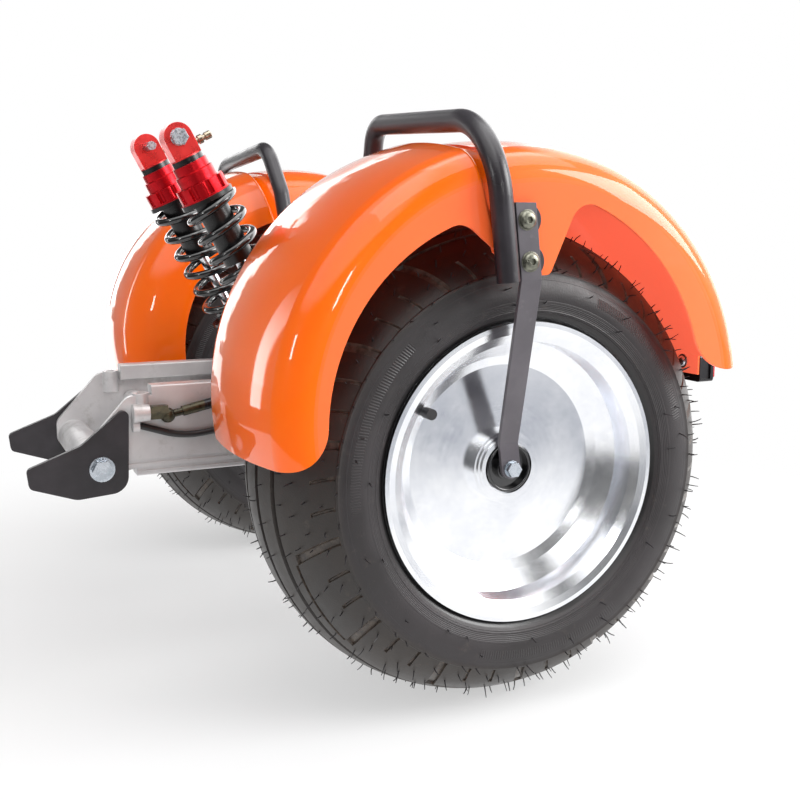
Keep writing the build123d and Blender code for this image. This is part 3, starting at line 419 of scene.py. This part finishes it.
# ---------------------------------------------------------------- dampers
# A red anodised head and can with a notched preload ring, a black powder
# coated spring, a black tube and a chromed rod.
head, foot = Vector((-0.095, 0, 0.3374)), Vector((-0.21, 0, 0.1108))
down = (foot - head).normalized()
anodised, at = new_finish("anodised_damper")
neck_start, neck_end, ring_end = (0.0218, 0.0222), (0.0278, 0.0282), (0.0658, 0.0662)
run = at.moved(head).along(down)
neck = run.band(neck_start, neck_end)
below_ring = run.between(*ring_end)
lathe_marks = (run * 9000).sine()
can_cloud = at.noise(90, 3)
can_colour = can_cloud.between(0.3, 0.7).colour(rgb(196, 22, 34), rgb(176, 12, 26))
clevis_end = (0.018, 0.03)
can_colour = run.below(*clevis_end).colour(can_colour, rgb(232, 66, 64))
black_share = (neck + below_ring).at_most_one()
at.finish(
    Base_Color=black_share.colour(can_colour, rgb(18, 17, 19)),
    Metallic=black_share.between(0, 1, 0.75, 0.1),
    Roughness=can_cloud.between(0.2, 0.8, 0.24, 0.36),
    Normal=(lathe_marks * 0.4 + can_cloud).bump(0.06, 0.0003, 0.0004),
)
dress(anodised, "damper_body")

spring_coat, at = new_finish("spring_coat")
spring_cloud = at.noise(70, 3)
at.finish(
    Base_Color=spring_cloud.between(0.3, 0.7).colour(rgb(14, 14, 15), rgb(22, 22, 24)),
    Roughness=spring_cloud.between(0.3, 0.7, 0.14, 0.26),
    Coat_Weight=1.0,
    Coat_Roughness=0.05,
    Normal=at.noise(1000, 2).bump(0.12, 0.0003),
)
dress(spring_coat, "damper_spring")

rod_chrome, at = new_finish("rod_chrome")
foot_start = (0.2215, 0.222)
foot_share = at.moved(head).along(down).between(*foot_start)
chrome_cloud = at.noise(200, 3)
at.finish(
    Base_Color=foot_share.colour(rgb(218, 220, 224), rgb(44, 43, 45)),
    Metallic=foot_share.between(0, 1, 1.0, 0.2),
    Roughness=chrome_cloud.between(0.3, 0.7, 0.12, 0.3),
    Normal=chrome_cloud.bump(0.08, 0.0003),
)
dress(rod_chrome, "damper_rod")

# ---------------------------------------------------------------- hoops and stays
# Bent steel tube, and a flat bar from the hoop's lug down to the wheel bolt.
# Both are powder coated in a satin charcoal, a little worn at the edges.
for coat, dark, light, rub, piece in (
    ("satin_charcoal_coat", rgb(42, 39, 43), rgb(54, 51, 56), rgb(92, 88, 92), "hoop"),
    ("grey_bar_coat", rgb(80, 76, 81), rgb(94, 90, 95), rgb(122, 118, 120), "stay"),
):
    satin_coat, at = new_finish(coat)
    satin_grit = at.noise(1300, 2)
    satin_cloud = at.noise(19, 5, 0.6)
    satin_rub = at.noise(70, 4, 0.7)
    satin_colour = satin_cloud.between(0.3, 0.75).colour(dark, light)
    at.finish(
        Base_Color=(satin_rub.between(0.6, 0.8) * 0.4).colour(satin_colour, rub),
        Roughness=satin_cloud.between(0.25, 0.8, 0.27, 0.38),
        Normal=(satin_grit + satin_rub * 0.3).bump(0.2, 0.0004, 0.0009),
    )
    dress(satin_coat, piece)

# ---------------------------------------------------------------- mudguards
# Moulded in orange and sprayed under a deep clear coat, with a rounded edge.
# The inside has the colour alone, a shade redder and paler, partly painted light from the bright floor
# below; at the rear a painted glow stands in for the light that comes through the plastic.
arch_x, arch_z = -0.326, 0.086
# The colour of the painted glow on the inside at the rear.
painted_glow_colour = (0.66, 0.11, 0.06, 1)
orange_coat, at = new_finish("orange_coat")
guard_x, _, guard_z = at.parts()
normal_x, _, normal_z = at.node("ShaderNodeNewGeometry", {}, {}, "True Normal").parts()
facing_out = normal_x * (guard_x - arch_x) + normal_z * (guard_z - arch_z)
outward = (facing_out * 12).between(-0.4, 0.4)
# Where the painted glow lies: the inside of the mudguard, towards the rear.
painted_glow_mask = (1 - outward) * guard_x.below(-0.52, -0.38)
flake = at.noise(6, 2)
orange_colour = flake.between(0.3, 0.7).colour(rgb(255, 101, 0), rgb(255, 106, 1))
at.finish(
    # The inside's paler, pinker orange is partly painted light from the bright floor below it.
    Base_Color=outward.colour(rgb(255, 112, 78), orange_colour),
    Roughness=outward.between(0, 1, 0.45, 0.35),
    Specular_IOR_Level=0.1,
    Coat_Weight=outward.between(0, 1, 0.2, 1.0),
    Coat_Roughness=0.025,
    Coat_IOR=1.42,
    # A painted glow: the inside at the rear emits light in place of light coming through the plastic.
    Emission_Color=painted_glow_mask.colour((0, 0, 0, 1), painted_glow_colour),
    Emission_Strength=1.0,
    Subsurface_Weight=0.22,
    Subsurface_Radius=(1.0, 0.4, 0.15),
    Subsurface_Scale=0.005,
    Normal=at.noise(120, 2).bump(0.02, 0.001, 0.0012),
)
dress(orange_coat, "mudguard")

# ---------------------------------------------------------------- reflectors
# A black moulded box screwed to the tab behind the mudguard, with a red
# prism lens set in its rear face.
black_moulding, at = new_finish("black_moulding")
moulding_grain = at.noise(900, 2)
at.finish(
    Base_Color=at.noise(40, 3).between(0.3, 0.7).colour(rgb(24, 22, 26), rgb(36, 33, 38)),
    Roughness=moulding_grain.between(0.3, 0.7, 0.28, 0.42),
    Normal=moulding_grain.bump(0.15, 0.0003),
)
dress(black_moulding, "reflector")

red_lens, at = new_finish("red_lens")
prism = at.node("ShaderNodeTexVoronoi", {}, {"Vector": at, "Scale": 420.0}, "Distance")
at.finish(
    Base_Color=prism.between(0.1, 0.7).colour(rgb(226, 30, 40), rgb(176, 8, 18)),
    Roughness=0.12,
    Coat_Weight=1.0,
    Coat_Roughness=0.03,
    Normal=prism.bump(0.3, 0.0008),
)
dress(red_lens, "reflector_lens")

# ---------------------------------------------------------------- rims, valves and hub caps
# Spun and polished alloy, hazier towards the lip: the last cuts of the lathe
# still show as fine rings. The valve is rubber, and the cap over the bearing a
# black painted cup.
alloy, at = new_finish("polished_alloy")
off_axis = at.moved(axle, (1, 0, 1)).length()
ring_values = {"W": off_axis, "Scale": 3600.0, "Detail": 1.0}
rings = at.node("ShaderNodeTexNoise", {"noise_dimensions": "1D"}, ring_values)
polish_cloud = at.noise(18, 5, 0.65)
polish_haze = at.noise(70, 4, 0.7)
outer_haze = off_axis.between(0.08, 0.1, 0.05, 0.09)
at.finish(
    Base_Color=polish_cloud.between(0.3, 0.7).colour(rgb(226, 228, 233), rgb(243, 244, 246)),
    Metallic=1.0,
    Roughness=polish_cloud * 0.1 + polish_haze * 0.12 + outer_haze,
    Normal=(rings + polish_haze * 0.6).bump(0.16, 0.0001),
)
dress(alloy, "rim")

black_rubber, at = new_finish("black_rubber")
rubber_grain = at.noise(500, 2)
at.finish(
    Base_Color=at.noise(60, 3).between(0.3, 0.7).colour(rgb(28, 27, 28), rgb(44, 42, 44)),
    Roughness=0.5,
    Normal=rubber_grain.bump(0.2, 0.0003),
)
dress(black_rubber, "valve")
dress(spring_coat, "bearing_cap")

# ---------------------------------------------------------------- stay screws
# Button-head screws with a hex socket hold each stay to the lug behind it.
# They are steel, passivated to a dull olive yellow.


def lathe(outline, steps, place, socket=0.0):
    """A bmesh turned from (radius, height) pairs; rings inside socket are drawn out to a hexagon."""
    shape = bmesh.new()
    points = [shape.verts.new((radius, 0, height)) for radius, height in outline]
    edges = [shape.edges.new(pair) for pair in zip(points, points[1:])]
    bmesh.ops.spin(
        shape, geom=points + edges, cent=(0, 0, 0), axis=(0, 0, 1), angle=tau, steps=steps, use_merge=True
    )
    bmesh.ops.remove_doubles(shape, verts=shape.verts, dist=1e-6)
    bmesh.ops.recalc_face_normals(shape, faces=shape.faces)
    for vert in shape.verts:
        radius = hypot(vert.co.x, vert.co.y)
        if 1e-5 < radius < socket:
            turn = atan2(vert.co.y, vert.co.x) % (tau / 6) - tau / 12
            vert.co.xy *= cos(tau / 12) / cos(turn)
    bmesh.ops.transform(shape, matrix=place, verts=shape.verts)
    return shape


def both_sides(name, shape, material, bodies=("root", "root"), sharp=35):
    """The left piece from a bmesh and its mirror image on the right."""
    twin = shape.copy()
    bmesh.ops.scale(twin, vec=(1, -1, 1), verts=twin.verts)
    bmesh.ops.reverse_faces(twin, faces=twin.faces)
    pieces = []
    for side, half, body in (("left", shape, bodies[0]), ("right", twin, bodies[1])):
        piece = made(f"{name}_{side}", half, material, sharp)
        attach(piece, body)
        pieces.append(piece)
    return pieces


def add_shape(whole, part):
    """Adds a bmesh to another one."""
    held = bpy.data.meshes.new("held")
    part.to_mesh(held)
    part.free()
    whole.from_mesh(held)
    bpy.data.meshes.remove(held)


olive_steel, at = new_finish("olive_passivated_steel")
olive_cloud = at.noise(260, 3)
at.finish(
    Base_Color=olive_cloud.between(0.3, 0.7).colour(rgb(104, 104, 94), rgb(136, 136, 123)),
    Metallic=0.8,
    Roughness=olive_cloud.between(0.3, 0.7, 0.26, 0.4),
    Normal=at.noise(900, 2).bump(0.12, 0.0002, 0.0004),
)
bar_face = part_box("stay_left")[1].y
screw_places = ((-0.3094, 0.2515), (-0.3132, 0.2165))
screw_outline = [
    (0.0088, 0.0), (0.0088, 0.0007), (0.0082, 0.0010), (0.0079, 0.0016), (0.0072, 0.0029), (0.0060, 0.0039),
    (0.0044, 0.0045), (0.0031, 0.0046), (0.0029, 0.0043), (0.0028, 0.0021), (0.0, 0.0016),
]
stay_screws = bmesh.new()
for screw_x, screw_z in screw_places:
    spot = Matrix.Translation((screw_x, bar_face, screw_z)) @ Matrix.Rotation(radians(-90), 4, "X")
    add_shape(stay_screws, lathe(screw_outline, 24, spot, socket=0.0033))
both_sides("stay_screws", stay_screws, olive_steel)

# ---------------------------------------------------------------- damper valves
# A brass filling valve with a hexagon and a knurled cap stands out of the
# rear of each damper's head.
brass, at = new_finish("aged_brass")
brass_cloud = at.noise(300, 3)
at.finish(
    Base_Color=brass_cloud.between(0.3, 0.7).colour(rgb(134, 121, 104), rgb(184, 172, 154)),
    Metallic=1.0,
    Roughness=brass_cloud.between(0.3, 0.7, 0.24, 0.42),
    Normal=brass_cloud.bump(0.15, 0.0003, 0.0003),
)
damper_side = Vector((0, 0.08, 0))
valve_drop = 0.012
valve_root = head + damper_side + down * valve_drop
valve_way = Vector((down.z, 0, -down.x))
valve_outline = [
    (0.0, 0.0140), (0.0034, 0.0140), (0.0034, 0.0195), (0.0048, 0.0200), (0.0048, 0.0245),
    (0.0030, 0.0250), (0.0030, 0.0275), (0.0042, 0.0280), (0.0042, 0.0345), (0.0034, 0.0352), (0.0, 0.0354),
]
turned_out = Matrix.Translation(valve_root) @ valve_way.to_track_quat("Z", "Y").to_matrix().to_4x4()
damper_valve = lathe(valve_outline, 12, turned_out)
both_sides("damper_valve", damper_valve, brass)

# ---------------------------------------------------------------- tab screws
# A zinc plated dome screw with a washer holds each reflector from inside the
# mudguard's tab.
seat_gap, tab_wall = 0.0003, 0.0025
tab_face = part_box("reflector_left")[1].x + seat_gap + tab_wall
dome_outline = [
    (0.0075, 0.0), (0.0075, 0.0012), (0.0056, 0.0013), (0.0054, 0.0022), (0.0046, 0.0036), (0.0028, 0.0047),
    (0.0, 0.0050),
]
tab_screws = bmesh.new()
for screw_y in (0.2606, 0.3164):
    spot = Matrix.Translation((tab_face, screw_y, 0.1050)) @ Matrix.Rotation(radians(90), 4, "Y")
    add_shape(tab_screws, lathe(dome_outline, 20, spot))
both_sides("tab_screws", tab_screws, zinc)

# ---------------------------------------------------------------- tyres
# Moulded rubber: grooves round the tread, long and short slots across the
# shoulders, and a ridge above the plain sidewall. Half of one pitch is shaped,
# mirrored over the tread and repeated round the wheel.
tyre_rubber, at = new_finish("tyre_rubber")
off_axis = at.moved(axle, (1, 0, 1)).length()
rubber_fine = at.noise(650, 3)
rubber_cloud = at.noise(11, 5, 0.62)
scuff = at.noise(75, 4, 0.7)
sidewall = off_axis.below(0.180, 0.190)
fine_ribs = (off_axis * 4200).sine() * off_axis.band((0.1485, 0.1495), (0.1585, 0.1595))
tyre_x, _, tyre_z = at.moved(axle).parts()
round_tyre = tyre_z.turn(tyre_x)
hatch_arcs = (round_tyre * 3 + 0.5).sine().between(0.15, 0.25)
hatch_zone = off_axis.band((0.1670, 0.1674), (0.1752, 0.1756)) * hatch_arcs
hatching = (round_tyre * 420 + off_axis * 300).sine() * hatch_zone
wall_steps = off_axis.below(0.1600, 0.1606) + off_axis.between(0.1788, 0.1794) * 0.7
tread_colour = rubber_cloud.between(0.3, 0.72).colour(rgb(31, 25, 22), rgb(45, 38, 33))
wall_colour = rubber_cloud.between(0.3, 0.72).colour(rgb(30, 25, 26), rgb(43, 38, 40))
tyre_colour = sidewall.colour(tread_colour, wall_colour)
tyre_colour = (scuff.between(0.58, 0.8) * 0.35).colour(tyre_colour, rgb(92, 82, 74))
# The ring at the bead is darker, a painted shade of the gap against the rim's lip, and glossier.
bead_gap_shade = off_axis.below(0.1462, 0.1472)
rubber_relief = rubber_fine * 0.5 + fine_ribs * 0.6 + hatching * 0.8 + wall_steps + scuff * 0.5
at.finish(
    Base_Color=bead_gap_shade.colour(tyre_colour, rgb(20, 17, 18)),
    Roughness=(rubber_cloud + scuff * 0.4 - bead_gap_shade * 0.5).between(0.3, 0.9, 0.34, 0.56),
    Specular_IOR_Level=0.6,
    Normal=rubber_relief.bump(0.4, 0.0007),
)

# The slots' walls and floors are lighter than the tread: a painted highlight where the light catches them.
slot_painted_highlight, at = new_finish("slot_painted_highlight")
slot_cloud = at.noise(160, 4, 0.6)
at.finish(
    Base_Color=slot_cloud.between(0.3, 0.7).colour(rgb(46, 39, 35), rgb(84, 75, 67)),
    Roughness=slot_cloud.between(0.3, 0.7, 0.36, 0.5),
    Normal=slot_cloud.bump(0.3, 0.0005),
)

half_outline = [
    (0, 234.0), (6, 233.8), (12, 233.3), (12.7, 227.8), (17.3, 227.4), (18, 232.6), (25, 231.4),
    (32, 229.7), (39, 227.8), (39.7, 222.4), (44.3, 221.2), (45, 225.8), (50, 223.9), (54.5, 221.9),
    (57.5, 220.4), (63, 217.4), (69, 213.9), (75, 209.8), (80, 205.8), (85, 201.0), (89.5, 196.0),
    (93.4, 190.6), (95.2, 188.0), (96.3, 187.6), (97.3, 186.0), (97.2, 184.0), (98.6, 180.8),
    (100.2, 176.6), (101.6, 170.4), (102.0, 165.4), (101.5, 160.0), (100.2, 155.6), (98.8, 152.6),
    (98.9, 151.2), (97.6, 149.9), (95.6, 148.4), (94.0, 145.8), (92.0, 143.0), (89.6, 141.5),
    (88.6, 138.0), (88.0, 127.4), (80.0, 127.4), (86.0, 150.0), (92.0, 168.0), (84.0, 196.0),
    (60.0, 209.0), (30.0, 217.0), (0, 219.0),
]
tread_radius, tread_step = 0.185, (54.5, 57.5)
shoulder, short_slot_start, slot_end = 57, 78, 94.5
long_cut, short_cut, step_cut = (0.0028, 0.0014), (0.0018, 0.0009), (0.0024, 0.0008)
pitch = tau / 14
long_slot, short_slot = radians(2.5), radians(1.0)
gap = (pitch - long_slot - 2 * short_slot) / 3
columns = [long_slot] + 3 * [gap / 3] + [short_slot] + 3 * [gap / 3] + [short_slot] + 3 * [gap / 3]
starts = [sum(columns[:count]) for count in range(len(columns))]
slot_lead, slot_sweep, sweep_width = 3.4, 4.8, 36
wheel_axis = (0, 1, 0)


def grooved_tyre():
    """The whole tyre about the origin, its first long slot on the +X side."""
    tyre = bmesh.new()
    edge = [tyre.verts.new((radius / 1000, across / 1000, 0)) for across, radius in half_outline]
    geom = edge + [tyre.edges.new(pair) for pair in zip(edge, edge[1:])]
    for turn in columns + columns:
        swept = bmesh.ops.spin(tyre, geom=geom, cent=(0, 0, 0), axis=wheel_axis, angle=turn, steps=1)
        geom = swept["geom_last"]
    bmesh.ops.recalc_face_normals(tyre, faces=tyre.faces)
    outward = Vector((1, 3, 1))
    outer = [face for face in tyre.faces if face.normal.dot(face.calc_center_median() * outward) > 0]

    def sink(low, high, first, last, depth, slope):
        """Sinks the outer faces between two offsets and two angles, with sloping walls."""
        chosen = []
        for face in outer:
            middle = face.calc_center_median()
            in_slot = low < middle.y * 1000 < high and first < atan2(-middle.z, middle.x) < last
            if in_slot and hypot(middle.x, middle.z) > tread_radius:
                chosen.append(face)
                face.material_index = 1
        rims = bmesh.ops.inset_region(
            tyre, faces=chosen, thickness=slope, depth=-depth, use_even_offset=True, use_boundary=True
        )
        for rim in rims["faces"]:
            rim.material_index = 1
        for face in chosen:
            outer.remove(face)

    for start in (0, pitch):
        sink(shoulder, slot_end, start, start + long_slot, *long_cut)
        for count in (4, 8):
            short_start = start + starts[count]
            sink(short_slot_start, slot_end, short_start, short_start + short_slot, *short_cut)
    sink(*tread_step, long_slot, pitch, *step_cut)
    for vert in tyre.verts:
        share = min(1.0, max(0.0, (vert.co.y * 1000 - shoulder) / sweep_width))
        vert.co = Matrix.Rotation(radians(slot_lead - slot_sweep * share), 3, "Y") @ vert.co
    whole = tyre.verts[:] + tyre.edges[:] + tyre.faces[:]
    bmesh.ops.spin(
        tyre, geom=whole, cent=(0, 0, 0), axis=wheel_axis, angle=tau * 6 / 7, steps=6, use_duplicate=True
    )
    bmesh.ops.remove_doubles(tyre, verts=tyre.verts, dist=1e-5)
    whole = tyre.verts[:] + tyre.edges[:] + tyre.faces[:]
    bmesh.ops.mirror(tyre, geom=whole, matrix=Matrix.Identity(4), merge_dist=1e-5, axis="Y")
    bmesh.ops.remove_doubles(tyre, verts=tyre.verts, dist=1e-5)
    bmesh.ops.recalc_face_normals(tyre, faces=tyre.faces)
    return tyre


wheels = ("left_wheel", "right_wheel")
half_track, tread_turn = 0.2885, radians(12.65)
wheel_place = Matrix.Translation((axle[0], half_track, axle[2])) @ Matrix.Rotation(tread_turn, 4, "Y")
tyre_shape = grooved_tyre()
bmesh.ops.transform(tyre_shape, matrix=wheel_place, verts=tyre_shape.verts)
road_tyres = both_sides("road_tyre", tyre_shape, tyre_rubber, wheels, 32)
for piece, side in zip(road_tyres, ("left", "right")):
    piece.data.materials.append(slot_painted_highlight)
    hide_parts(f"tyre_{side}")

# ---------------------------------------------------------------- vent hairs
# Threads of rubber left by the mould's vents: they stand on the shoulders and
# ribs, lean all ways, and are as thin as string.
hair_rubber, at = new_finish("hair_rubber")
at.finish(
    Base_Color=at.noise(90, 2).between(0.3, 0.7).colour(rgb(30, 28, 30), rgb(46, 43, 46)),
    Roughness=0.5,
    Normal=at.noise(900, 2).bump(0.1, 0.0002),
)
picks = random.Random(7)
hair_radius, hair_lengths, hair_lean, hair_taper = 0.0007, (0.004, 0.0092), 0.7, 0.82
shoulder_rows, shoulder_growth, half_width, wall_lean = 60, 1.25, 102, 1.35
hair_rows = (
    (8.0, 233.6, 28), (25.0, 231.4, 42), (52.0, 223.1, 56), (65.0, 216.3, 42), (76.5, 208.6, 42),
    (88.0, 197.7, 42), (96.6, 187.0, 42), (101.1, 172.8, 14), (101.0, 158.2, 14),
)


def hair(length, lean):
    """One bent thread, thinner at its tip, standing on the origin along +Z."""
    thread = bmesh.new()
    ring = bmesh.ops.create_circle(thread, segments=4, radius=hair_radius)["verts"]
    for share in (0.4, 0.35, 0.25):
        near = {edge for vert in ring for edge in vert.link_edges}
        edges = [edge for edge in near if all(end in ring for end in edge.verts)]
        grown = bmesh.ops.extrude_edge_only(thread, edges=edges)["geom"]
        ring = [part for part in grown if isinstance(part, bmesh.types.BMVert)]
        bmesh.ops.translate(thread, verts=ring, vec=(0, 0, length * share))
        middle = sum((vert.co for vert in ring), Vector()) / 4
        taper = (hair_taper, hair_taper, 1)
        bmesh.ops.scale(thread, vec=taper, verts=ring, space=Matrix.Translation(-middle))
        bmesh.ops.rotate(thread, cent=(0, 0, 0), matrix=Matrix.Rotation(lean * share, 3, "X"), verts=ring)
    bmesh.ops.contextual_create(thread, geom=ring)
    return thread


hairs = bmesh.new()
for across, radius, count in hair_rows:
    for number in range(count):
        turn = tau * (number + picks.uniform(0.1, 0.9)) / count
        length = picks.uniform(*hair_lengths) * (1.0 if across < shoulder_rows else shoulder_growth)
        lean, twist = picks.uniform(-hair_lean, hair_lean), picks.uniform(0, tau)
        slope = min(1.0, (across / half_width) ** 2.2) * wall_lean
        for way in (1, -1):
            root = Matrix.Translation((radius / 1000, way * across / 1000, 0))
            stand = Matrix.Rotation(turn, 4, "Y") @ root
            tilt = Matrix.Rotation(radians(90), 4, "Y") @ Matrix.Rotation(-way * slope, 4, "X")
            tilt = tilt @ Matrix.Rotation(twist, 4, "Z")
            thread = hair(length, lean)
            bmesh.ops.transform(thread, matrix=wheel_place @ stand @ tilt, verts=thread.verts)
            add_shape(hairs, thread)
bmesh.ops.recalc_face_normals(hairs, faces=hairs.faces)
both_sides("vent_hairs", hairs, hair_rubber, wheels)
